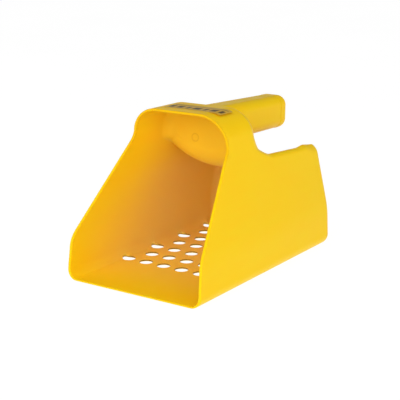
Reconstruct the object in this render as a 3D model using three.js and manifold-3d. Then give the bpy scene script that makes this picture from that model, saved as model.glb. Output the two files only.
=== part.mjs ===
// Sifting feed scoop: one hollow plastic moulding (tub, hood, perforated floor and
// cored handle), a press-in end cap in the handle, and a stuck-on label plate.
// Millimetres. +Z up, mouth faces -Y, handle runs back along +Y.
// The origin is at the middle of the bounding box's base.
import * as THREE from 'three';
import { mergeVertices } from 'three/addons/utils/BufferGeometryUtils.js';
import Module from 'manifold-3d';

const wasm = await Module();
wasm.setup();

// ---------------------------------------------------------------- dimensions
const WALL = 2.6;              // wall thickness of the moulding
const FLOOR = 1.5;             // the perforated floor is thinner than the walls
const LENGTH = 244;            // lip to the end of the handle
const REAR_BASE = 239.6;       // lip to rear wall at the base
const REAR_TOP = 234.6;        // where the rear wall's slope would reach the hood's height (draft)
const HALF_BASE = 71.5;        // half width at the base
const HALF_CREASE = 70.4;      // half width at the crease
const CREASE_Z = 38.1;         // height of the crease, where the sides start to lean in
const HALF_TOP = 45.6;         // half width that the leaning sides would have at the hood's height
const HEIGHT = 149.8;          // top of the hood
const HOOD_R = 21.2;           // radius between the leaning sides and the hood's roof
const BASE_R = 10.4;           // radius between floor and walls
const REAR_R = 11.9;           // radius of the rear vertical corners
const LIP_SET = 3.8;           // how far the lip leans back at the crease
const HOOD_FRONT = 73.6;       // hood's front edge at its foot, from the lip
const HOOD_FRONT_TOP = 68.2;   // hood's front edge at its top
const HOOD_FOOT_Z = 122.2;     // height where the slanted mouth meets the hood's front edge
const HOOD_REAR = 126.2;       // hood's rear wall, from the lip
const HOOD_CORNER = 13.6;      // radius of the hood's rear corners

// finger trough behind the hood: a shallow gutter that deepens to the rear
const RIM_Z = [106.7, 99.6];     // height of the side rims at the hood and at the rear wall
const EAR = 2.1, EAR_Y = 194.3, EAR_RUN = 15;  // the rims rise a little again near the rear
const TROUGH_Z = [91.7, 79.5];   // height of the trough's middle at the hood and at the rear
const TROUGH_Y = [116, 236];     // stations that the two values above belong to
const TROUGH_HALF = 51.3;        // half width where the trough meets the rims
const TROUGH_POWER = 2.25;       // its section is |x|^power
const TROUGH_R = 18.3;           // sweep between the hood's rear wall and the trough
const REAR_EDGE = 10.2;          // rounding where the trough runs over the rear wall

// handle: tapered rounded bar, cored from the rear
const HANDLE_END = 244;
const HANDLE_Y0 = 116;           // station of the first value of each pair below
const HANDLE_HALF = [16.6, 14.8];
const HANDLE_LOW = [113.0, 111.2];
const HANDLE_TOP = [147.5, 143.5];
const HANDLE_R = 9.8;
const CAP_DEPTH = 14;          // visible length of the end cap
const CAP_PROUD = 0.2;         // how far the cap stands proud of the handle
const CAP_EDGE = 7.5;          // rounding of the cap's outer edge
const SPIGOT = 12;             // length of the cap's spigot inside the handle
const SPIGOT_WALL = 2.2;
const GAP = 0.3;

// round sifting holes, staggered rows
const HOLE_D = 12.6;
const HOLE_PITCH = 20.2;
const ROW_PITCH = 23.1;
const FIRST_ROW = 76.7;
const ROWS = 7;
const HOLE_SIDES = 16;

// label plate on the hood
const LABEL_X = [-23, 37];      // left and right edge
const LABEL_Y = [81, 103];     // front and rear edge, from the lip
const LABEL_T = 0.4;

const YC = LENGTH / 2;         // lip-based y to centred y
const mix = (a, b, t) => a + (b - a) * t;

// ------------------------------------------------------------------- helpers
function toSolid(geometry) {
  const g = geometry.clone();
  g.deleteAttribute('normal');
  g.deleteAttribute('uv');
  const m = mergeVertices(g, 1e-4);
  const index = m.index.array;
  const tris = [];
  for (let i = 0; i < index.length; i += 3) {
    const [a, b, c] = [index[i], index[i + 1], index[i + 2]];
    if (a !== b && b !== c && c !== a) tris.push(a, b, c);
  }
  return new wasm.Manifold(new wasm.Mesh({
    numProp: 3,
    vertProperties: new Float32Array(m.attributes.position.array),
    triVerts: new Uint32Array(tris),
  }));
}
function toGeometry(solid) {
  const mesh = solid.getMesh();
  const g = new THREE.BufferGeometry();
  const pos = new Float32Array(mesh.numVert * 3);
  for (let i = 0; i < mesh.numVert; i++)
    for (let k = 0; k < 3; k++) pos[3 * i + k] = mesh.vertProperties[mesh.numProp * i + k];
  g.setAttribute('position', new THREE.BufferAttribute(pos, 3));
  g.setIndex(new THREE.BufferAttribute(new Uint32Array(mesh.triVerts), 1));
  g.computeVertexNormals();
  return g;
}
function extrudeAlongX(points, half) {
  // points are [y, z]; the prism runs from x = -half to +half
  const g = new THREE.ExtrudeGeometry(new THREE.Shape(points.map(([y, z]) => new THREE.Vector2(y, z))),
    { depth: 2 * half, bevelEnabled: false });
  g.translate(0, 0, -half);
  g.applyMatrix4(new THREE.Matrix4().set(0, 0, 1, 0, 1, 0, 0, 0, 0, 1, 0, 0, 0, 0, 0, 1));
  return g;
}
// rounded rectangle, centred, as a THREE.Shape
function roundedRect(hw, hh, r) {
  const s = new THREE.Shape();
  s.moveTo(hw, -hh + r);
  s.lineTo(hw, hh - r);
  s.absarc(hw - r, hh - r, r, 0, Math.PI / 2, false);
  s.lineTo(-hw + r, hh);
  s.absarc(-hw + r, hh - r, r, Math.PI / 2, Math.PI, false);
  s.lineTo(-hw, -hh + r);
  s.absarc(-hw + r, -hh + r, r, Math.PI, 1.5 * Math.PI, false);
  s.lineTo(hw - r, -hh);
  s.absarc(hw - r, -hh + r, r, 1.5 * Math.PI, 2 * Math.PI, false);
  return s;
}
// bar along +Y whose section at each station is a rounded rectangle
// stations: {y, hw, zc, hh}; the outline keeps its corner count
function bar(stations, r, segs) {
  const s = roundedRect(1, 1, 0.5);
  const g = new THREE.ExtrudeGeometry(s, { depth: stations.length - 1, steps: stations.length - 1, bevelEnabled: false, curveSegments: segs });
  const p = g.attributes.position;
  for (let i = 0; i < p.count; i++) {
    const st = stations[Math.round(p.getZ(i))];
    const rr = Math.min(st.r ?? r, st.hw - 0.05, st.hh - 0.05);
    // corner centres sit at +-0.5 on the unit outline
    const ux = p.getX(i), uz = p.getY(i);
    const x = Math.sign(ux) * (st.hw - rr) + (ux - Math.sign(ux) * 0.5) * 2 * rr;
    const z = Math.sign(uz) * (st.hh - rr) + (uz - Math.sign(uz) * 0.5) * 2 * rr;
    p.setXYZ(i, x, st.y, st.zc + z);
  }
  // extruding (x, z) along +Y reverses the handedness, so turn the triangles round
  return flip(g);
}
function flip(g) {
  const q = g.index ? g.toNonIndexed() : g;
  const p = q.attributes.position;
  for (let i = 0; i < p.count; i += 3) {
    const a = [p.getX(i), p.getY(i), p.getZ(i)];
    p.setXYZ(i, p.getX(i + 1), p.getY(i + 1), p.getZ(i + 1));
    p.setXYZ(i + 1, ...a);
  }
  return q;
}

// ----------------------------------------------------------------- tub + hood
// horizontal sections from the floor to the hood's top; inset shrinks it for the inside
const rearAt = (z) => mix(REAR_BASE, REAR_TOP, Math.max(z - BASE_R, 0) / (HEIGHT - BASE_R));
// the leaning side and the roof's corner arc, which is tangent to both
const LEAN = Math.atan2(HALF_CREASE - HALF_TOP, HEIGHT - CREASE_Z);
const sideAt = (z, inset) => HALF_CREASE - (z - CREASE_Z) * Math.tan(LEAN) - inset / Math.cos(LEAN);
const ARC_Z = HEIGHT - HOOD_R;
const ARC_X = sideAt(ARC_Z, HOOD_R);
// rear = wall position at a height; the hood's own rear wall is upright and rounds over at its top
function tubLevels(inset, hood) {
  const levels = [];
  const base = BASE_R - inset;
  const foot = inset > 0 ? FLOOR : 0;
  for (let k = 0; k <= 5; k++) {
    const f = (k / 5) * Math.PI / 2;
    const z = foot + (BASE_R - foot) * (1 - Math.cos(f));
    levels.push({ z, half: HALF_BASE - inset - base * (1 - Math.sin(f)), pull: base * (1 - Math.sin(f)) });
  }
  levels.push({ z: CREASE_Z, half: sideAt(CREASE_Z, inset), pull: 0 });
  const r = HOOD_R - inset;
  for (let k = 0; k <= 7; k++) {
    const f = mix(LEAN, Math.PI / 2, k / 7);
    levels.push({ z: ARC_Z + r * Math.sin(f), half: ARC_X + r * Math.cos(f), pull: 0 });
  }
  const corner = HOOD_CORNER - inset, over = HEIGHT - HOOD_CORNER;
  return levels.map(({ z, half, pull }) => {
    const d = Math.min(Math.max(z - over, 0), corner);
    return { z, half, rear: (hood ? HOOD_REAR - (corner - Math.sqrt(corner * corner - d * d)) : rearAt(z)) - inset - pull };
  });
}
function tub(inset, front, hood) {
  const levels = tubLevels(inset, hood);
  const r = (hood ? HOOD_CORNER : REAR_R) - inset;
  const hw = HALF_BASE, len = hood ? HOOD_REAR : REAR_BASE;
  const s = new THREE.Shape();
  s.moveTo(-hw, front);
  s.lineTo(hw, front);
  s.lineTo(hw, len - r);
  s.absarc(hw - r, len - r, r, 0, Math.PI / 2, false);
  s.lineTo(-hw + r, len);
  s.absarc(-hw + r, len - r, r, Math.PI / 2, Math.PI, false);
  s.lineTo(-hw, front);
  const n = levels.length - 1;
  const g = new THREE.ExtrudeGeometry(s, { depth: n, steps: n, bevelEnabled: false, curveSegments: 6 });
  const p = g.attributes.position;
  for (let i = 0; i < p.count; i++) {
    const L = levels[Math.round(p.getZ(i))];
    const x = p.getX(i), y = p.getY(i);
    p.setXYZ(i, x + Math.sign(x) * (L.half - hw), y > len / 2 ? y + L.rear - len : y, L.z);
  }
  return g;
}

// --------------------------------------------------------------- finger trough
const smooth = (t) => THREE.MathUtils.smoothstep(t, 0, 1);
function troughZ(x, y) {
  const t = THREE.MathUtils.clamp((y - TROUGH_Y[0]) / (TROUGH_Y[1] - TROUGH_Y[0]), 0, 1);
  const u = Math.min(Math.abs(x) / TROUGH_HALF, 1);
  const low = mix(...TROUGH_Z, t), rim = mix(...RIM_Z, t) + EAR * smooth((y - EAR_Y) / EAR_RUN);
  return low + (rim - low) * Math.pow(u, TROUGH_POWER);
}
// the sweep raises the trough next to the hood's rear wall
function sweepLift(d, r) {
  return d >= r ? 0 : r - Math.sqrt(Math.max(r * r - (r - d) * (r - d), 0));
}
// the rounding lowers it where it runs over the rear wall
const EDGE_Y = rearAt(100) - REAR_EDGE;
function edgeDrop(y, offset) {
  const r = REAR_EDGE - offset, d = Math.min(Math.max(y - EDGE_Y, 0), r);
  return r - Math.sqrt(r * r - d * d);
}
const TROUGH_X = [0, 11, 20, 28, 34, 39, 43, 46, 48.4, 50, 50.8, 51.3];
// solid that fills the air above the trough; offset > 0 grows it downward and forward,
// which gives the underside of the trough's skin
function troughCutter(offset) {
  const xs = [...TROUGH_X.slice(1).reverse().map((x) => -x), ...TROUGH_X];
  const r = TROUGH_R + offset;
  const ys = [];
  for (let k = 0; k <= 6; k++) ys.push(HOOD_REAR - offset + r * (1 - Math.cos((k / 6) * Math.PI / 2)));
  for (const y of [162, 178, 190, 196, 202, 208, 216]) ys.push(y);
  for (let k = 0; k <= 5; k++) ys.push(EDGE_Y + (REAR_EDGE - offset) * Math.sin((k / 5) * Math.PI / 2));
  ys.push(262);
  const rings = ys.map((y) => {
    const lift = sweepLift(y - (HOOD_REAR - offset), r) - edgeDrop(y, offset);
    const pts = xs.map((x) => {
      const h = 0.05;
      const slope = (troughZ(Math.min(x + h, TROUGH_HALF), y) - troughZ(Math.max(x - h, -TROUGH_HALF), y)) / (2 * h);
      const n = Math.hypot(1, slope);
      return new THREE.Vector2(x + offset * slope / n, troughZ(x, y) - offset / n + lift);
    });
    const rimZ = troughZ(TROUGH_HALF, y) - offset + lift;
    const last = pts[pts.length - 1];
    const wide = HALF_BASE + 20;
    pts.push(new THREE.Vector2(Math.max(last.x + 0.5, 60), Math.max(rimZ, last.y)));
    pts.push(new THREE.Vector2(wide, Math.max(rimZ, last.y)));
    pts.push(new THREE.Vector2(wide, HEIGHT + 40), new THREE.Vector2(-wide, HEIGHT + 40));
    pts.push(new THREE.Vector2(-wide, Math.max(rimZ, last.y)));
    pts.push(new THREE.Vector2(-Math.max(last.x + 0.5, 60), Math.max(rimZ, last.y)));
    return pts;
  });
  return loftAlongY(rings, ys);
}
// skin sections (all with the same number of points) into one closed geometry
function loftAlongY(rings, ys) {
  const n = rings[0].length, pos = [];
  const v = (k, i) => [rings[k][i % n].x, ys[k], rings[k][i % n].y];
  for (let k = 0; k + 1 < rings.length; k++)
    for (let i = 0; i < n; i++) {
      const a = v(k, i), b = v(k, i + 1), c = v(k + 1, i + 1), d = v(k + 1, i);
      pos.push(...a, ...b, ...c, ...a, ...c, ...d);
    }
  for (const k of [0, rings.length - 1]) {
    for (const [a, b, c] of THREE.ShapeUtils.triangulateShape(rings[k], []))
      if (k === 0) pos.push(...v(k, a), ...v(k, c), ...v(k, b));
      else pos.push(...v(k, a), ...v(k, b), ...v(k, c));
  }
  const g = new THREE.BufferGeometry();
  g.setAttribute('position', new THREE.Float32BufferAttribute(pos, 3));
  return g;
}
function oriented(geometry) {
  let s = toSolid(geometry);
  if (s.volume() < 0) s = toSolid(flip(geometry));
  return s;
}
// what has to go so that the hood's rear corners, above the rims, come out round
function cornerCutter(inset) {
  const lo = [-100, HOOD_REAR - HOOD_CORNER - 3, RIM_Z[0] - inset], hi = [100, HOOD_REAR + 2, HEIGHT + 20];
  const g = new THREE.BoxGeometry(hi[0] - lo[0], hi[1] - lo[1], hi[2] - lo[2]);
  g.translate((lo[0] + hi[0]) / 2, (lo[1] + hi[1]) / 2, (lo[2] + hi[2]) / 2);
  return oriented(g).subtract(oriented(tub(inset, -25, true)));
}

// ----------------------------------------------------------------- the handle
const handleAt = (y) => {
  const t = (y - HANDLE_Y0) / (HANDLE_END - HANDLE_Y0);
  const low = mix(...HANDLE_LOW, t), top = mix(...HANDLE_TOP, t);
  return { y, hw: mix(...HANDLE_HALF, t), zc: (low + top) / 2, hh: (top - low) / 2 };
};
const grow = (st, d, r) => ({ ...st, hw: st.hw + d, hh: st.hh + d, r });
const TUBE_END = HANDLE_END - CAP_DEPTH;
const handleBar = oriented(bar([handleAt(HOOD_REAR - WALL - 6), handleAt(TUBE_END)], HANDLE_R, 5));
const handleBore = oriented(bar([
  grow(handleAt(HOOD_REAR), -WALL - 0.6), grow(handleAt(TUBE_END + 5), -WALL + 0.2),
], HANDLE_R - WALL, 5));

// ---------------------------------------------------------------- scoop shell
const mouth = oriented(extrudeAlongX([
  [-60, -10], [0, -10], [0, 0], [LIP_SET, CREASE_Z], [HOOD_FRONT, HOOD_FOOT_Z],
  [HOOD_FRONT_TOP, HEIGHT], [HOOD_FRONT_TOP - 1.6, HEIGHT + 10], [-60, HEIGHT + 10],
], 110));
const body = (inset, front) => oriented(tub(inset, front, false))
  .subtract(oriented(troughCutter(inset))).subtract(cornerCutter(inset));
let shell = body(0, -15).add(handleBar);
const inside = body(WALL, -20);
shell = shell.subtract(inside).subtract(mouth).subtract(handleBore);

const holeCutters = [];
for (let row = 0; row < ROWS; row++) {
  const count = row % 2 === 0 ? 7 : 6;
  for (let i = 0; i < count; i++) {
    const g = new THREE.CylinderGeometry(HOLE_D / 2, HOLE_D / 2, 12, HOLE_SIDES);
    g.rotateX(Math.PI / 2);
    g.translate((i - (count - 1) / 2) * HOLE_PITCH, FIRST_ROW + row * ROW_PITCH, 4);
    holeCutters.push(oriented(g));
  }
}
for (const c of holeCutters) shell = shell.subtract(c);

// --------------------------------------------------------------- handle cap
const capStations = [];
const capFoot = TUBE_END + GAP;
capStations.push(grow(handleAt(capFoot), CAP_PROUD, HANDLE_R));
for (let k = 0; k <= 4; k++) {
  const f = (k / 4) * Math.PI / 2;
  capStations.push(grow(handleAt(HANDLE_END - CAP_EDGE + CAP_EDGE * Math.sin(f)), CAP_PROUD - CAP_EDGE * (1 - Math.cos(f)), HANDLE_R - CAP_EDGE * (1 - Math.cos(f)) * 0.8));
}
let cap = oriented(bar(capStations, HANDLE_R, 5));
const spigot = (d, y0, y1) => oriented(bar([grow(handleAt(y0), d), grow(handleAt(y1), d)], HANDLE_R - WALL - 0.5, 5));
cap = cap.add(spigot(-WALL - 0.55, TUBE_END - SPIGOT, capFoot + 1.2));
cap = cap.subtract(spigot(-WALL - 0.55 - SPIGOT_WALL, TUBE_END - SPIGOT - 2, capFoot + 2.2));

// -------------------------------------------------------------------- label
const roofZ = (x) => {
  const d = Math.abs(x) - ARC_X;
  return d <= 0 ? HEIGHT : ARC_Z + Math.sqrt(HOOD_R * HOOD_R - d * d);
};
const labelXs = [];
for (let k = 0; k <= 20; k++) labelXs.push(mix(...LABEL_X, k / 20));
const section = [
  ...labelXs.map((x) => new THREE.Vector2(x, roofZ(x) + GAP)),
  ...labelXs.slice().reverse().map((x) => new THREE.Vector2(x, roofZ(x) + GAP + LABEL_T)),
];
const labelG = new THREE.ExtrudeGeometry(new THREE.Shape(section), { depth: LABEL_Y[1] - LABEL_Y[0], bevelEnabled: false });
labelG.applyMatrix4(new THREE.Matrix4().set(1, 0, 0, 0, 0, 0, 1, LABEL_Y[0], 0, 1, 0, 0, 0, 0, 0, 1));
const label = oriented(flip(labelG));

// ------------------------------------------------------------------ assembly
const yellow = new THREE.MeshStandardMaterial({ name: 'yellow_plastic', color: 0xf5bf1c, roughness: 0.38, metalness: 0 });
const capYellow = new THREE.MeshStandardMaterial({ name: 'cap_plastic', color: 0xf2ba1b, roughness: 0.42, metalness: 0 });
const foil = new THREE.MeshStandardMaterial({ name: 'label_film', color: 0xb7a06e, roughness: 0.45, metalness: 0.1 });

const group = new THREE.Group();
function addPart(name, solid, material) {
  const mesh = new THREE.Mesh(toGeometry(solid), material);
  mesh.name = name;
  mesh.position.set(0, -YC, 0);
  group.add(mesh);
}
addPart('scoop_shell', shell, yellow);
addPart('handle_cap', cap, capYellow);
addPart('hood_label', label, foil);

export default group;
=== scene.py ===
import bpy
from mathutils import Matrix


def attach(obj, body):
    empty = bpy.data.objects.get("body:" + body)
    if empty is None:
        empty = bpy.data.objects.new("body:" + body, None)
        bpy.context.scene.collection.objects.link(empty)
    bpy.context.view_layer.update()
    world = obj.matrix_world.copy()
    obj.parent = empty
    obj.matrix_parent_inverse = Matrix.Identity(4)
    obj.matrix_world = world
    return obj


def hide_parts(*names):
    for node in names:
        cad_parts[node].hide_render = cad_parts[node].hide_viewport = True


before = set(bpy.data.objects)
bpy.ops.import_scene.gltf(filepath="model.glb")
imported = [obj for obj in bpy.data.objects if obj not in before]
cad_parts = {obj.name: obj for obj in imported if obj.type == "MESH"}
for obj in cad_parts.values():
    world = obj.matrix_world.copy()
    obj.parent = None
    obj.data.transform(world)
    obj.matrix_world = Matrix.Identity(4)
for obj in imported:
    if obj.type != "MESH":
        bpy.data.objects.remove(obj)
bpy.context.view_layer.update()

import math
import bpy
import numpy as np
from mathutils import Matrix, Vector

# ---------------------------------------------------------------------------
# dimensions, the same as the frame's (mm; y counted from the lip, then centred)
# ---------------------------------------------------------------------------
WALL, FLOOR = 2.6, 1.5
LENGTH, REAR_BASE, REAR_TOP = 244.0, 239.6, 234.6
HALF_BASE, HALF_CREASE, CREASE_Z = 71.5, 70.4, 38.1
HALF_TOP, HEIGHT, HOOD_R = 45.6, 149.8, 21.2
BASE_R, REAR_R = 10.4, 11.9
LIP_SET, HOOD_FRONT, HOOD_FRONT_TOP, HOOD_FOOT_Z = 3.8, 73.6, 68.2, 122.2
HOOD_REAR, HOOD_CORNER = 126.2, 13.6
RIM_Z = (106.7, 99.6)
EAR, EAR_Y, EAR_RUN = 2.1, 194.3, 15.0
TROUGH_Z, TROUGH_Y = (91.7, 79.5), (116.0, 236.0)
TROUGH_HALF, TROUGH_POWER, TROUGH_R = 51.3, 2.25, 18.3
RIM_EDGE_R, REAR_EDGE = 3.9, 10.2
HANDLE_END, HANDLE_Y0 = 244.0, 116.0
HANDLE_HALF = (16.6, 14.8)
HANDLE_LOW = (113.0, 111.2)
HANDLE_TOP = (147.5, 143.5)
HANDLE_R = 9.8
CAP_DEPTH, CAP_PROUD, CAP_EDGE = 14.0, 0.2, 7.5
TUBE_END = HANDLE_END - CAP_DEPTH
HOLE_R, HOLE_PITCH, ROW_PITCH, FIRST_ROW, ROWS = 6.3, 20.2, 23.1, 76.7, 7
LABEL_X, LABEL_Y = (-23.0, 37.0), (81.0, 103.0)
YC = LENGTH / 2.0
GATE = (17.0, 115.8)       # gate mark on the hood's rear wall: distance to -X, height
RIM_EDGE = 0.95          # rounding of the mouth's edge


# ---------------------------------------------------------------------------
# distance fields
# ---------------------------------------------------------------------------
def ri(a, b, r):
    """intersection with a convex rounding of radius r"""
    return np.minimum(np.maximum(a, b), -r) + np.sqrt(
        np.maximum(a + r, 0) ** 2 + np.maximum(b + r, 0) ** 2)


def ru(a, b, r):
    """union with a concave fillet of radius r"""
    return -ri(-a, -b, r)


def smax(a, b, k):
    h = np.maximum(k - np.abs(a - b), 0) / k
    return np.maximum(a, b) + h * h * k * 0.25


def smin(a, b, k):
    return -smax(-a, -b, k)


def line(u, w, u0, w0, u1, w1):
    """distance to the line through two points, positive on its +u side"""
    du, dw = u1 - u0, w1 - w0
    n = math.hypot(du, dw)
    return ((u - u0) * dw - (w - w0) * du) / n


def ease(t):
    t = np.clip(t, 0, 1)
    return t * t * (3 - 2 * t)


def trough_height(x, y):
    t = np.clip((y - TROUGH_Y[0]) / (TROUGH_Y[1] - TROUGH_Y[0]), 0, 1)
    u = np.minimum(np.abs(x) / TROUGH_HALF, 1.0)
    low = TROUGH_Z[0] + (TROUGH_Z[1] - TROUGH_Z[0]) * t
    rim = RIM_Z[0] + (RIM_Z[1] - RIM_Z[0]) * t + EAR * ease((y - EAR_Y) / EAR_RUN)
    g = (rim - low) * TROUGH_POWER * u ** (TROUGH_POWER - 1) / TROUGH_HALF
    g = np.where(np.abs(x) < TROUGH_HALF, g, 0.0)
    return low + (rim - low) * u ** TROUGH_POWER, np.sqrt(1 + g * g)


def body_outer(x, y, z):
    ax = np.abs(x)
    lo = line(ax, z, HALF_BASE, BASE_R, HALF_CREASE, CREASE_Z)
    hi = line(ax, z, HALF_CREASE, CREASE_Z, HALF_TOP, HEIGHT)
    sec = ri(smax(lo, hi, 1.6), z - HEIGHT, HOOD_R)
    rear = line(y, z, REAR_BASE, BASE_R, REAR_TOP, HEIGHT)
    wall = ri(sec, rear, REAR_R)
    f = ri(wall, -z, BASE_R)
    th, n = trough_height(x, y)
    air = ri(HOOD_REAR - y, (th - z) / n, TROUGH_R)
    # small rounding along the side rims, a bigger one round the hood and over the rear wall
    r = RIM_EDGE_R + (HOOD_CORNER - RIM_EDGE_R) * ease((z - 105.0) / 9.0) \
        + (REAR_EDGE - RIM_EDGE_R) * ease((y - 195.0) / 30.0)
    return ri(f, -air, r)


def handle_section(x, y, z, d=0.0, r=HANDLE_R):
    t = (y - HANDLE_Y0) / (HANDLE_END - HANDLE_Y0)
    hw = HANDLE_HALF[0] + (HANDLE_HALF[1] - HANDLE_HALF[0]) * t + d
    lo = HANDLE_LOW[0] + (HANDLE_LOW[1] - HANDLE_LOW[0]) * t - d
    up = HANDLE_TOP[0] + (HANDLE_TOP[1] - HANDLE_TOP[0]) * t + d
    return ri(np.abs(x) - hw, np.abs(z - (lo + up) / 2) - (up - lo) / 2, r)


def mouth(y, z):
    lo = line(y, z, 0.0, 0.0, LIP_SET, CREASE_Z)
    mid = line(y, z, LIP_SET, CREASE_Z, HOOD_FRONT, HOOD_FOOT_Z)
    hi = line(y, z, HOOD_FRONT, HOOD_FOOT_Z, HOOD_FRONT_TOP, HEIGHT)
    # each is positive behind the line, so the sign is turned
    return ru(smax(-lo, -mid, 4.5), -hi, 4.0)


def shell_field(x, y, z):
    base = body_outer(x, y, z)
    bar = np.maximum(handle_section(x, y, z), (HOOD_REAR - 9.0) - y)
    bar = ri(bar, y - TUBE_END, 0.06)
    # the floor is thinner than the walls: near it the inside is read a little higher up
    inner = body_outer(x, y, z + (WALL - FLOOR) * (1 - ease(z / 12.0)))
    s = np.maximum(ru(base, bar, 1.6), -(inner + WALL))
    bore = handle_section(x, y, z, -WALL, HANDLE_R - WALL)
    s = np.maximum(s, -ri(bore, HOOD_REAR - y, 3.0))
    return ri(s, mouth(y, z), RIM_EDGE)


def cap_field(x, y, z):
    s = ri(handle_section(x, y, z, CAP_PROUD, HANDLE_R), y - HANDLE_END, CAP_EDGE)
    s = ri(s, (TUBE_END + 0.05) - y, 0.06)
    spig = handle_section(x, y, z, -WALL - 0.5, HANDLE_R - WALL - 0.5)
    spig = ri(spig, (TUBE_END - 12.0) - y, 0.6)
    spig = np.maximum(spig, y - (TUBE_END + 2.0))
    s = np.minimum(s, spig)
    hollow = handle_section(x, y, z, -WALL - 2.7, HANDLE_R - WALL - 2.7)
    return np.maximum(s, -np.maximum(hollow, y - (TUBE_END + 2.3)))


# ---------------------------------------------------------------------------
# surface nets
# ---------------------------------------------------------------------------
def sample(field, lo, hi, h, mirror):
    """field on a grid; with mirror, only x >= 0 is worked out (lo[0] = -hi[0])"""
    n = [int(round((hi[i] - lo[i]) / h)) + 1 for i in range(3)]
    ax = [lo[i] + h * np.arange(n[i], dtype=np.float32) for i in range(3)]
    out = np.empty(n, np.float32)
    first = n[0] // 2 if mirror else 0
    step = 16
    for i in range(first, n[0], step):
        x = ax[0][i:i + step][:, None, None]
        out[i:i + step] = field(x, ax[1][None, :, None], ax[2][None, None, :])
    if mirror:
        out[:first] = out[first + 1:][::-1][:first] if n[0] % 2 else out[first:][::-1][:first]
    return out, ax


def surface_nets(field, lo, hi, h, mirror=False):
    f, ax = sample(field, lo, hi, h, mirror)
    s = f < 0
    n = np.array(f.shape)
    cell = np.zeros(n - 1, bool)
    ref = s[:-1, :-1, :-1]
    corners = [(i, j, k) for i in (0, 1) for j in (0, 1) for k in (0, 1)]
    view = lambda a, c: a[c[0]:n[0] - 1 + c[0], c[1]:n[1] - 1 + c[1], c[2]:n[2] - 1 + c[2]]
    for c in corners[1:]:
        cell |= view(s, c) != ref
    idx = np.full(cell.shape, -1, np.int64)
    ids = np.nonzero(cell)
    m = len(ids[0])
    idx[ids] = np.arange(m)
    val = {c: f[ids[0] + c[0], ids[1] + c[1], ids[2] + c[2]] for c in corners}
    acc = np.zeros((m, 3), np.float64)
    cnt = np.zeros(m)
    for a in corners:
        for d in range(3):
            if a[d]:
                continue
            b = list(a); b[d] = 1; b = tuple(b)
            va, vb = val[a], val[b]
            cross = (va < 0) != (vb < 0)
            t = np.where(cross, va / np.where(cross, va - vb, 1), 0)
            p = np.zeros((m, 3)); p[:] = a; p[:, d] = t
            acc += np.where(cross[:, None], p, 0)
            cnt += cross
    base = np.stack(ids, 1).astype(np.float64)
    v = np.array(lo) + h * (base + acc / cnt[:, None])
    quads = []
    for d in range(3):
        e, g = [(1, 2), (2, 0), (0, 1)][d]
        lo_s = [slice(None)] * 3; hi_s = [slice(None)] * 3
        lo_s[d] = slice(0, n[d] - 1); hi_s[d] = slice(1, n[d])
        for q in (e, g):
            lo_s[q] = slice(1, n[q] - 1); hi_s[q] = slice(1, n[q] - 1)
        a, b = s[tuple(lo_s)], s[tuple(hi_s)]
        w = np.nonzero(a != b)
        pos = np.stack(w, 1)
        pos[:, e] += 1; pos[:, g] += 1
        inside_first = a[w]
        def at(de, dg):
            p = pos.copy(); p[:, e] -= de; p[:, g] -= dg
            return idx[p[:, 0], p[:, 1], p[:, 2]]
        q = np.stack([at(1, 1), at(0, 1), at(0, 0), at(1, 0)], 1)
        q[~inside_first] = q[~inside_first][:, ::-1]
        quads.append(q)
    return v, np.concatenate(quads)


def gradient(field, v, e=0.02):
    v = v.astype(np.float64)
    g = np.empty_like(v)
    for d in range(3):
        o = np.zeros(3); o[d] = e
        a, b = v + o, v - o
        g[:, d] = (field(a[:, 0], a[:, 1], a[:, 2]) - field(b[:, 0], b[:, 1], b[:, 2])) / (2 * e)
    return g


def settle(field, v, steps=3, cap=0.5):
    """move the vertices onto the surface"""
    for _ in range(steps):
        f = field(v[:, 0], v[:, 1], v[:, 2])
        g = gradient(field, v)
        n2 = np.maximum((g * g).sum(1), 0.05)
        step = (f / n2)[:, None] * g
        ln = np.linalg.norm(step, axis=1, keepdims=True)
        v = v - step * np.minimum(1, cap / np.maximum(ln, 1e-9))
    return v


def to_mesh(name, v_mm, faces):
    """a Blender mesh in metres in the shared frame"""
    v = (v_mm - np.array([0, YC, 0])) * 0.001
    me = bpy.data.meshes.new(name)
    me.vertices.add(len(v))
    me.vertices.foreach_set("co", v.astype(np.float32).ravel())
    k = faces.shape[1]
    me.loops.add(len(faces) * k)
    me.loops.foreach_set("vertex_index", faces.astype(np.int32).ravel())
    me.polygons.add(len(faces))
    me.polygons.foreach_set("loop_start", (np.arange(len(faces)) * k).astype(np.int32))
    me.polygons.foreach_set("loop_total", np.full(len(faces), k, np.int32))
    me.update(calc_edges=True)
    ob = bpy.data.objects.new(name, me)
    bpy.context.scene.collection.objects.link(ob)
    return ob


def bake_modifiers(ob):
    dg = bpy.context.evaluated_depsgraph_get()
    me = bpy.data.meshes.new_from_object(ob.evaluated_get(dg), preserve_all_data_layers=True, depsgraph=dg)
    old = ob.data
    ob.modifiers.clear()
    ob.data = me
    me.name = ob.name
    bpy.data.meshes.remove(old)


def coords(me):
    co = np.empty(len(me.vertices) * 3, np.float32)
    me.vertices.foreach_get("co", co)
    return co.reshape(-1, 3).astype(np.float64) * 1000 + np.array([0, YC, 0])


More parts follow.
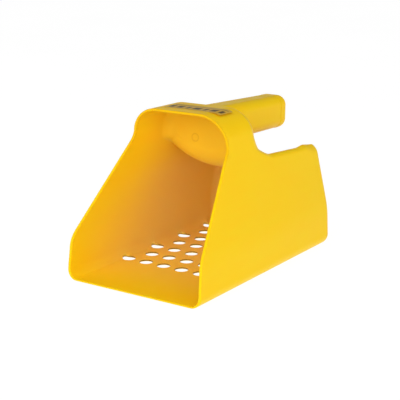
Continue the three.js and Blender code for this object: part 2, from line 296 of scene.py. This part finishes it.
def smooth_with(ob, field, holes=None):
    """smooth shading with the field's own normals; hole walls get radial ones"""
    me = ob.data
    me.polygons.foreach_set("use_smooth", np.ones(len(me.polygons), bool))
    v = coords(me)
    g = gradient(field, v, 0.05)
    g /= np.maximum(np.linalg.norm(g, axis=1, keepdims=True), 1e-9)
    lv = np.empty(len(me.loops), np.int32); me.loops.foreach_get("vertex_index", lv)
    start = np.empty(len(me.polygons), np.int32); me.polygons.foreach_get("loop_start", start)
    tot = np.empty(len(me.polygons), np.int32); me.polygons.foreach_get("loop_total", tot)
    pn = np.empty(len(me.polygons) * 3, np.float32); me.polygons.foreach_get("normal", pn)
    pn = pn.reshape(-1, 3).astype(np.float64)
    pc = np.empty(len(me.polygons) * 3, np.float32); me.polygons.foreach_get("center", pc)
    pc = pc.reshape(-1, 3).astype(np.float64) * 1000 + np.array([0, YC, 0])
    face_of = np.repeat(np.arange(len(me.polygons)), tot)
    order = np.concatenate([np.arange(s, s + t) for s, t in zip(start, tot)]) if not np.all(
        start == np.concatenate([[0], np.cumsum(tot)[:-1]])) else np.arange(len(me.loops))
    nl = np.empty((len(me.loops), 3))
    nl[order] = g[lv[order]]
    if holes is not None:
        d = np.linalg.norm(pc[:, None, :2] - holes[None], axis=2)
        k = d.argmin(1)
        wall = (d[np.arange(len(pc)), k] < HOLE_R + 0.6) & (np.abs(pn[:, 2]) < 0.7) & (pc[:, 2] < 12)
        lw = np.nonzero(wall[face_of])[0]
        loops = order[lw]
        c = holes[k[face_of[lw]]]
        r = c - v[lv[loops], :2]
        r /= np.maximum(np.linalg.norm(r, axis=1, keepdims=True), 1e-9)
        nl[loops] = np.c_[r, np.zeros(len(r))]
        # painted shade: the walls of the sifting holes get a dark brown tone where shade falls inside them
        bore = np.zeros(len(me.loops), np.float32)
        # where the outermost holes climb into the corner's rounding, the wall keeps its plain colour
        bore[loops] = np.clip((2.5 - v[lv[loops], 2]) / 0.9, 0, 1)
        me.attributes.new("bore", "FLOAT", "CORNER").data.foreach_set("value", bore)
    # a corner where the field's normal disagrees with the face keeps the face's own
    fn = pn[face_of]
    cur = nl[order]
    bad = (cur * fn).sum(1) < 0.3
    cur[bad] = fn[bad]
    nl[order] = cur
    me.normals_split_custom_set(nl.astype(np.float32).tolist())


# ---------------------------------------------------------------------------
# pieces
# ---------------------------------------------------------------------------
def hole_centres():
    out = []
    for row in range(ROWS):
        n = 7 if row % 2 == 0 else 6
        for i in range(n):
            out.append(((i - (n - 1) / 2) * HOLE_PITCH, FIRST_ROW + row * ROW_PITCH))
    return np.array(out)


def drill(ob, centres, r, sides):
    """cut round holes with one cutter of separate pins, flared by 0.5 mm at the underside"""
    a = 2 * np.pi * (np.arange(sides) + 0.5) / sides
    prof = [(r + 2.5, -2.0), (r, 0.5), (r, 10.0)]
    vs, fs = [], []
    for cx, cy in centres:
        b = len(vs)
        for q, z in prof:
            vs += [(cx + q * math.cos(t), cy + q * math.sin(t), z) for t in a]
        for k in range(len(prof) - 1):
            o = b + k * sides
            fs += [[o + i, o + (i + 1) % sides, o + sides + (i + 1) % sides, o + sides + i] for i in range(sides)]
        o = b + (len(prof) - 1) * sides
        fs += [[b + i for i in range(sides)][::-1], [o + i for i in range(sides)]]
    me = bpy.data.meshes.new("cutter")
    me.from_pydata([tuple((np.array(p) - (0, YC, 0)) * 0.001) for p in vs], [], fs)
    cut = bpy.data.objects.new("cutter", me)
    bpy.context.scene.collection.objects.link(cut)
    m = ob.modifiers.new("drill", "BOOLEAN")
    m.operation = "DIFFERENCE"; m.object = cut; m.solver = "MANIFOLD"
    bake_modifiers(ob)
    bpy.data.objects.remove(cut)
    bpy.data.meshes.remove(me)


def build_shell():
    v, q = surface_nets(shell_field, (-76.0, -3.0, -3.0), (76.0, 248.0, 155.0), 1.0, mirror=True)
    v = settle(shell_field, v)
    ob = to_mesh("moulded_scoop", v, q)
    d = ob.modifiers.new("thin", "DECIMATE")
    d.ratio = 0.31
    bake_modifiers(ob)
    # pull the kept vertices back onto the surface
    w = settle(shell_field, coords(ob.data), 2, 0.2)
    ob.data.vertices.foreach_set("co", (((w - np.array([0, YC, 0])) * 0.001).astype(np.float32)).ravel())
    ob.data.update()
    drill(ob, hole_centres(), HOLE_R, 56)
    smooth_with(ob, shell_field, hole_centres())
    # painted shade on the rim round the hood's arch: its colour is darkened to dim the highlight there
    v = coords(ob.data)
    rim = np.clip((mouth(v[:, 1], v[:, 2]) + 1.9) / 0.9, 0, 1) * ease((v[:, 2] - 104.0) / 16.0)
    ob.data.attributes.new("rim", "FLOAT", "POINT").data.foreach_set("value", rim.astype(np.float32))
    # painted light: a pale, less saturated sheen laid over the shaded inside of the tub, stronger the deeper it lies
    # behind the mouth and weaker higher up
    inside = np.clip((-body_outer(v[:, 0], v[:, 1], v[:, 2]) - 0.6) / 0.6, 0, 1)
    painted_interior_sheen = inside * ease(-mouth(v[:, 1], v[:, 2]) / 150.0) * (1 - 0.6 * ease((v[:, 2] - 72.0) / 30.0))
    ob.data.attributes.new("painted_interior_sheen", "FLOAT", "POINT").data.foreach_set("value", painted_interior_sheen.astype(np.float32))
    return ob


def build_cap():
    v, q = surface_nets(cap_field, (-18.0, TUBE_END - 14.0, 111.0), (18.0, HANDLE_END + 2.0, 149.0), 0.6, mirror=True)
    v = settle(cap_field, v)
    ob = to_mesh("handle_end_cap", v, q)
    smooth_with(ob, cap_field)
    return ob


LEAN = math.atan2(HALF_CREASE - HALF_TOP, HEIGHT - CREASE_Z)
ARC_X = HALF_CREASE - (HEIGHT - HOOD_R - CREASE_Z) * math.tan(LEAN) - HOOD_R / math.cos(LEAN)


def roof(x):
    d = np.abs(x) - ARC_X
    return np.where(d <= 0, HEIGHT, HEIGHT - HOOD_R + np.sqrt(np.maximum(HOOD_R ** 2 - d * d, 0)))


def build_label():
    """a thin film with rounded corners that follows the roof"""
    x0, x1 = LABEL_X; y0, y1 = LABEL_Y
    r, t, lift = 1.2, 0.12, 0.05
    nx, ny = 72, 44
    gx, gy = np.meshgrid(np.linspace(-1, 1, nx + 1), np.linspace(-1, 1, ny + 1), indexing="ij")
    hx, hy = (x1 - x0) / 2, (y1 - y0) / 2
    px, py = gx * hx, gy * hy
    # squeeze the grid's corners onto the rounded outline
    ex, ey = np.maximum(np.abs(px) - (hx - r), 0), np.maximum(np.abs(py) - (hy - r), 0)
    e = np.hypot(ex, ey)
    m = np.maximum(ex, ey)
    k = np.where(e > 1e-9, m / np.maximum(e, 1e-9), 1.0)
    px = np.sign(px) * (np.minimum(np.abs(px), hx - r) + ex * k)
    py = np.sign(py) * (np.minimum(np.abs(py), hy - r) + ey * k)
    X = (x0 + x1) / 2 + px; Y = (y0 + y1) / 2 + py
    edge = np.maximum(np.abs(gx), np.abs(gy)) > 0.999
    top = np.stack([X, Y, roof(X) + lift + t - np.where(edge, t * 0.35, 0)], -1).reshape(-1, 3)
    bot = np.stack([X, Y, roof(X) + lift], -1).reshape(-1, 3)
    n = len(top)
    idx = np.arange(n).reshape(nx + 1, ny + 1)
    a, b, c, d = idx[:-1, :-1], idx[1:, :-1], idx[1:, 1:], idx[:-1, 1:]
    q1 = np.stack([a, b, c, d], -1).reshape(-1, 4)
    q2 = np.stack([d, c, b, a], -1).reshape(-1, 4) + n
    ring = np.concatenate([idx[:-1, 0], idx[-1, :-1], idx[::-1, -1][:-1], idx[0, ::-1][:-1]])
    nxt = np.roll(ring, -1)
    q3 = np.stack([ring + n, nxt + n, nxt, ring], -1)
    ob = to_mesh("label_film", np.concatenate([top, bot]), np.concatenate([q1, q2, q3]))
    ob.data.polygons.foreach_set("use_smooth", np.ones(len(ob.data.polygons), bool))
    ob.data.set_sharp_from_angle(angle=math.radians(40))
    return ob


# ---------------------------------------------------------------------------
# materials
# ---------------------------------------------------------------------------
def lin(r, g, b):
    f = lambda c: (c / 255) / 12.92 if c <= 10.31 else (((c / 255) + 0.055) / 1.055) ** 2.4
    return (f(r), f(g), f(b), 1.0)


class Nodes:
    def __init__(self, name):
        self.mat = bpy.data.materials.new(name)
        self.mat.use_nodes = True
        self.t = self.mat.node_tree
        self.bsdf = self.t.nodes["Principled BSDF"]
        self.out = self.t.nodes["Material Output"]
        tc = self.t.nodes.new("ShaderNodeTexCoord")
        self.pos = tc.outputs["Object"]

    def node(self, kind, **kw):
        n = self.t.nodes.new(kind)
        for k, v in kw.items():
            if hasattr(n, k):
                setattr(n, k, v)
            else:
                n.inputs[k].default_value = v
        return n

    def link(self, a, b):
        self.t.links.new(a, b)

    def noise(self, scale, detail=3.0, rough=0.5, dist=0.0, vec=None):
        n = self.t.nodes.new("ShaderNodeTexNoise")
        n.inputs["Scale"].default_value = scale
        n.inputs["Detail"].default_value = detail
        n.inputs["Roughness"].default_value = rough
        n.inputs["Distortion"].default_value = dist
        self.link(vec or self.pos, n.inputs["Vector"])
        return n.outputs["Fac"]

    def stretch(self, sx, sy, sz, vec=None):
        m = self.t.nodes.new("ShaderNodeMapping")
        m.inputs["Scale"].default_value = (sx, sy, sz)
        self.link(vec or self.pos, m.inputs["Vector"])
        return m.outputs["Vector"]

    def ramp(self, fac, a, b, lo=0.0, hi=1.0):
        n = self.t.nodes.new("ShaderNodeMapRange")
        n.inputs["From Min"].default_value = a
        n.inputs["From Max"].default_value = b
        n.inputs["To Min"].default_value = lo
        n.inputs["To Max"].default_value = hi
        n.clamp = True
        self.link(fac, n.inputs["Value"])
        return n.outputs["Result"]

    def mix(self, fac, a, b):
        n = self.t.nodes.new("ShaderNodeMix")
        n.data_type = "RGBA"
        if isinstance(fac, (int, float)):
            n.inputs["Factor"].default_value = fac
        else:
            self.link(fac, n.inputs["Factor"])
        for v, key in ((a, "A"), (b, "B")):
            s = [i for i in n.inputs if i.name == key and i.type == "RGBA"][0]
            if isinstance(v, tuple):
                s.default_value = v
            else:
                self.link(v, s)
        return [o for o in n.outputs if o.type == "RGBA"][0]

    def math(self, op, a, b=None, c=None):
        n = self.t.nodes.new("ShaderNodeMath")
        n.operation = op
        for i, v in enumerate((a, b, c)):
            if v is None:
                continue
            if isinstance(v, (int, float)):
                n.inputs[i].default_value = v
            else:
                self.link(v, n.inputs[i])
        return n.outputs[0]

    def bump(self, height, strength, distance, normal=None):
        n = self.t.nodes.new("ShaderNodeBump")
        n.inputs["Strength"].default_value = strength
        n.inputs["Distance"].default_value = distance
        self.link(height, n.inputs["Height"])
        if normal is not None:
            self.link(normal, n.inputs["Normal"])
        return n.outputs["Normal"]


def yellow_plastic(name, tint=1.0, seed=0.0):
    m = Nodes(name)
    b = m.bsdf
    vec = m.t.nodes.new("ShaderNodeMapping")
    vec.inputs["Location"].default_value = (seed, seed * 0.7, -seed)
    m.link(m.pos, vec.inputs["Vector"])
    p = vec.outputs["Vector"]
    cloud = m.noise(14.0, 3.0, 0.5, 0.3, p)                       # pigment clouds, 7 cm
    flow = m.noise(1.0, 4.0, 0.6, 0.4, m.stretch(90, 16, 90, p))  # melt flow streaks along the pull
    speck = m.noise(900.0, 2.0, 0.6, 0.0, p)
    base = m.mix(m.ramp(cloud, 0.3, 0.7), lin(250, 203, 18), lin(248, 206, 24))
    base = m.mix(m.ramp(flow, 0.35, 0.75, 0.0, 0.35), base, lin(251, 198, 15))
    base = m.mix(m.ramp(speck, 0.62, 0.75, 0.0, 0.12), base, lin(240, 190, 22))
    # painted light and shade: a pale painted sheen over the shaded inside of the tub, painted shade that dims the
    # highlight on the rim round the hood's arch, and painted shade on the walls of the sifting holes
    for name, amount, tone in (("painted_interior_sheen", 0.5, lin(252, 214, 148)), ("rim", 0.6, lin(222, 168, 18)),
                               ("bore", 0.9, lin(118, 70, 18))):
        a = m.t.nodes.new("ShaderNodeAttribute")
        a.attribute_type = "GEOMETRY"
        a.attribute_name = name
        base = m.mix(m.math("MULTIPLY", a.outputs["Fac"], amount), base, tone)
    # witness of the moulding gate: a faint round mark on the inside of the hood's rear wall
    sep = m.t.nodes.new("ShaderNodeSeparateXYZ")
    m.link(m.pos, sep.inputs[0])
    dx = m.math("ADD", sep.outputs[0], GATE[0] / 1000)
    dz = m.math("SUBTRACT", sep.outputs[2], GATE[1] / 1000)
    r = m.math("SQRT", m.math("ADD", m.math("MULTIPLY", dx, dx), m.math("MULTIPLY", dz, dz)))
    side = m.ramp(sep.outputs[1], (HOOD_REAR - YC - 1.6) / 1000, (HOOD_REAR - YC - 0.8) / 1000, 1.0, 0.0)
    gate = m.math("MULTIPLY", m.ramp(r, 0.0029, 0.0041, 1.0, 0.0), side)
    ring = m.math("MULTIPLY", m.math("MULTIPLY", m.ramp(r, 0.0027, 0.0036), m.ramp(r, 0.0036, 0.0046, 1.0, 0.0)), side)
    base = m.mix(m.math("MULTIPLY", ring, 0.4), base, lin(206, 146, 22))
    m.link(base, b.inputs["Base Color"])
    # scuffs: short fine scratches that only change the gloss
    scr = m.noise(1.0, 3.0, 0.7, 1.2, m.stretch(700, 60, 260, p))
    scr2 = m.noise(1.0, 3.0, 0.7, 0.9, m.stretch(80, 620, 300, p))
    scuff = m.math("MAXIMUM", m.ramp(scr, 0.66, 0.76), m.ramp(scr2, 0.68, 0.78))
    patch = m.ramp(m.noise(22.0, 4.0, 0.6, 0.5, p), 0.45, 0.7)
    wear = m.math("MULTIPLY", scuff, patch)
    rough = m.ramp(m.noise(60.0, 4.0, 0.6, 0.2, p), 0.3, 0.7, 0.30, 0.40)
    rough = m.math("ADD", rough, m.math("MULTIPLY", wear, 0.12))
    m.link(rough, b.inputs["Roughness"])
    b.inputs["IOR"].default_value = 1.50
    b.inputs["Specular IOR Level"].default_value = 0.06
    b.inputs["Specular Tint"].default_value = (1.0, 0.84, 0.25, 1.0)
    b.inputs["Subsurface Weight"].default_value = 0.2
    b.inputs["Subsurface Radius"].default_value = (0.0035, 0.0018, 0.0004)
    b.inputs["Subsurface Scale"].default_value = 1.0
    # moulded skin: long soft waves, a faint eggshell grain, scratches
    wave = m.noise(26.0, 2.0, 0.5, 0.0, p)
    grain = m.noise(1300.0, 3.0, 0.6, 0.0, p)
    n1 = m.bump(wave, 0.35, 0.0012)
    n2 = m.bump(grain, 0.10, 0.00012, n1)
    n3 = m.bump(m.math("MULTIPLY", wear, -1.0), 0.25, 0.00005, n2)
    n4 = m.bump(gate, 0.5, 0.0004, n3)
    m.link(n4, b.inputs["Normal"])
    return m.mat


def label_material():
    """gold-toned clear film, with worn dark blocks and a rule where a printed panel would be"""
    m = Nodes("printed_film")
    b = m.bsdf
    sep = m.t.nodes.new("ShaderNodeSeparateXYZ")
    m.link(m.pos, sep.inputs[0])
    x, y = sep.outputs[0], sep.outputs[1]
    cx = (LABEL_X[0] + LABEL_X[1]) / 2000
    cy = ((LABEL_Y[0] + LABEL_Y[1]) / 2 - YC) / 1000
    hx, hy = (LABEL_X[1] - LABEL_X[0]) / 2000, (LABEL_Y[1] - LABEL_Y[0]) / 2000
    u = m.math("DIVIDE", m.math("SUBTRACT", x, cx), hx)    # -1..1
    v = m.math("DIVIDE", m.math("SUBTRACT", y, cy), hy)

    def band(c, lo, hi, soft=0.02):
        a = m.ramp(c, lo - soft, lo + soft)
        d = m.ramp(c, hi - soft, hi + soft, 1.0, 0.0)
        return m.math("MULTIPLY", a, d)
    base = m.mix(m.ramp(m.noise(150.0, 4.0, 0.6), 0.3, 0.7), lin(222, 178, 48), lin(206, 164, 66))
    # a row of plain blocks of one height and differing width, with one thin rule behind them
    blocks = None
    for lo, hi in ((-0.94, -0.76), (-0.66, -0.46), (-0.34, -0.22), (-0.10, 0.16), (0.28, 0.40), (0.52, 0.74), (0.84, 0.95)):
        k = band(u, lo, hi, 0.012)
        blocks = k if blocks is None else m.math("ADD", blocks, k)
    blocks = m.math("MULTIPLY", blocks, band(v, -0.60, 0.16, 0.05))
    bars = m.math("MULTIPLY", band(u, -0.94, 0.95, 0.012), band(v, 0.50, 0.64, 0.05))
    # worn print: the ink is broken up by fine noise
    worn = m.ramp(m.noise(420.0, 4.0, 0.7), 0.34, 0.56, 0.90, 1.0)
    ink = m.math("MULTIPLY", m.math("MINIMUM", m.math("ADD", blocks, m.math("MULTIPLY", bars, 0.6)), 1.0), worn)
    base = m.mix(m.math("MULTIPLY", ink, 0.94), base, lin(50, 42, 32))
    m.link(base, b.inputs["Base Color"])
    b.inputs["Specular IOR Level"].default_value = 0.22
    m.link(m.ramp(m.noise(90.0, 3.0, 0.6), 0.3, 0.7, 0.34, 0.48), b.inputs["Roughness"])
    n1 = m.bump(m.noise(70.0, 2.0, 0.5), 0.4, 0.0004)
    m.link(m.bump(m.noise(1500.0, 2.0, 0.5), 0.08, 0.0001, n1), b.inputs["Normal"])
    return m.mat


# ---------------------------------------------------------------------------
# build
# ---------------------------------------------------------------------------
shell = build_shell()
cap = build_cap()
label = build_label()
for ob, mat, node, slot in (
        (shell, yellow_plastic("moulded_yellow"), "scoop_shell", "yellow_plastic"),
        (cap, yellow_plastic("moulded_yellow_cap", seed=0.37), "handle_cap", "cap_plastic"),
        (label, label_material(), "hood_label", "label_film")):
    ob.data.materials.clear()
    ob.data.materials.append(mat)
    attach(ob, "root")
    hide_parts(node)

# ---------------------------------------------------------------------------
# floor, light, camera
# ---------------------------------------------------------------------------
me = bpy.data.meshes.new("studio_floor")
R = 6.0
me.from_pydata([(-R, -R, -0.0006), (R, -R, -0.0006), (R, R, -0.0006), (-R, R, -0.0006)], [], [(0, 1, 2, 3)])
floor = bpy.data.objects.new("studio_floor", me)
bpy.context.scene.collection.objects.link(floor)
fm = Nodes("pale_floor")
# a light-table floor: it glows almost white, so the scoop's holes read as white
fm.link(fm.mix(fm.ramp(fm.noise(2.0, 2.0), 0.3, 0.7), (0.10, 0.10, 0.10, 1), (0.12, 0.12, 0.12, 1)), fm.bsdf.inputs["Base Color"])
fm.bsdf.inputs["Roughness"].default_value = 0.9
fm.bsdf.inputs["Specular IOR Level"].default_value = 0.0
fm.bsdf.inputs["Emission Color"].default_value = (1, 1, 1, 1)
fm.bsdf.inputs["Emission Strength"].default_value = 0.95
me.materials.append(fm.mat)

world = bpy.data.worlds.new("studio")
bpy.context.scene.world = world
world.use_nodes = True
wt = world.node_tree
bg = wt.nodes["Background"]
# a soft tent: pale all round the horizon, dimmer above it, with a wide soft ceiling
tc = wt.nodes.new("ShaderNodeTexCoord")
sp = wt.nodes.new("ShaderNodeSeparateXYZ")
wt.links.new(tc.outputs["Generated"], sp.inputs[0])
mr = wt.nodes.new("ShaderNodeFloatCurve")
curve = mr.mapping.curves[0]
curve.points[0].location = (0.0, 0.80)
curve.points[1].location = (1.0, 0.45)
for q in ((0.12, 0.80), (0.26, 0.16), (0.50, 0.16), (0.62, 0.45)):
    curve.points.new(*q)
mr.mapping.update()
wt.links.new(sp.outputs["Z"], mr.inputs["Value"])
wt.links.new(mr.outputs["Value"], bg.inputs["Strength"])
bg.inputs["Color"].default_value = (1.0, 1.0, 1.0, 1)


def area(name, loc, aim, size, power, color=(1, 1, 1)):
    d = bpy.data.lights.new(name, "AREA")
    d.shape = "RECTANGLE"
    d.size, d.size_y = size
    d.energy = power
    d.color = color
    o = bpy.data.objects.new(name, d)
    bpy.context.scene.collection.objects.link(o)
    o.location = loc
    o.rotation_euler = (Vector(aim) - Vector(loc)).to_track_quat("-Z", "Y").to_euler()
    return o


def from_side(az, el, dist=1.8):
    a, e = math.radians(az), math.radians(el)
    return (dist * math.sin(a) * math.cos(e), -dist * math.cos(a) * math.cos(e), 0.07 + dist * math.sin(e))


# three soft boxes: one square to the mouth, one beside the camera, one along the right wall
area("soft_front", from_side(0, 30), (0, 0, 0.07), (1.0, 1.0), 12.1)
area("key", from_side(35, 30), (0, 0, 0.07), (1.0, 1.0), 4.2)
area("soft_right", from_side(60, 10), (0, 0, 0.07), (1.0, 1.0), 9.8)

AZ, EL, ROLL = math.radians(33.628), math.radians(14.539), math.radians(0.353)
DIST, FOCAL = 0.952251, 1032.5
target = Vector((0.0037, (101.590 - YC) / 1000, 0.062403))
back = Vector((math.sin(AZ) * math.cos(EL), -math.cos(AZ) * math.cos(EL), math.sin(EL)))
right = Vector((math.cos(AZ), math.sin(AZ), 0))
up = back.cross(right)
right, up = right * math.cos(ROLL) + up * math.sin(ROLL), up * math.cos(ROLL) - right * math.sin(ROLL)
target += right * -0.00023 + up * 0.00046
cd = bpy.data.cameras.new("camera")
cam = bpy.data.objects.new("camera", cd)
bpy.context.scene.collection.objects.link(cam)
cd.sensor_width = 36.0
cd.lens = 36.0 * FOCAL / 400.0
cd.clip_start, cd.clip_end = 0.01, 50
rot = Matrix((right, up, back)).transposed().to_4x4()
cam.matrix_world = Matrix.Translation(target + back * DIST) @ rot
bpy.context.scene.camera = cam

vs = bpy.context.scene.view_settings
vs.view_transform = "Standard"
vs.look = "None"
vs.exposure = 0.0
vs.gamma = 1.0
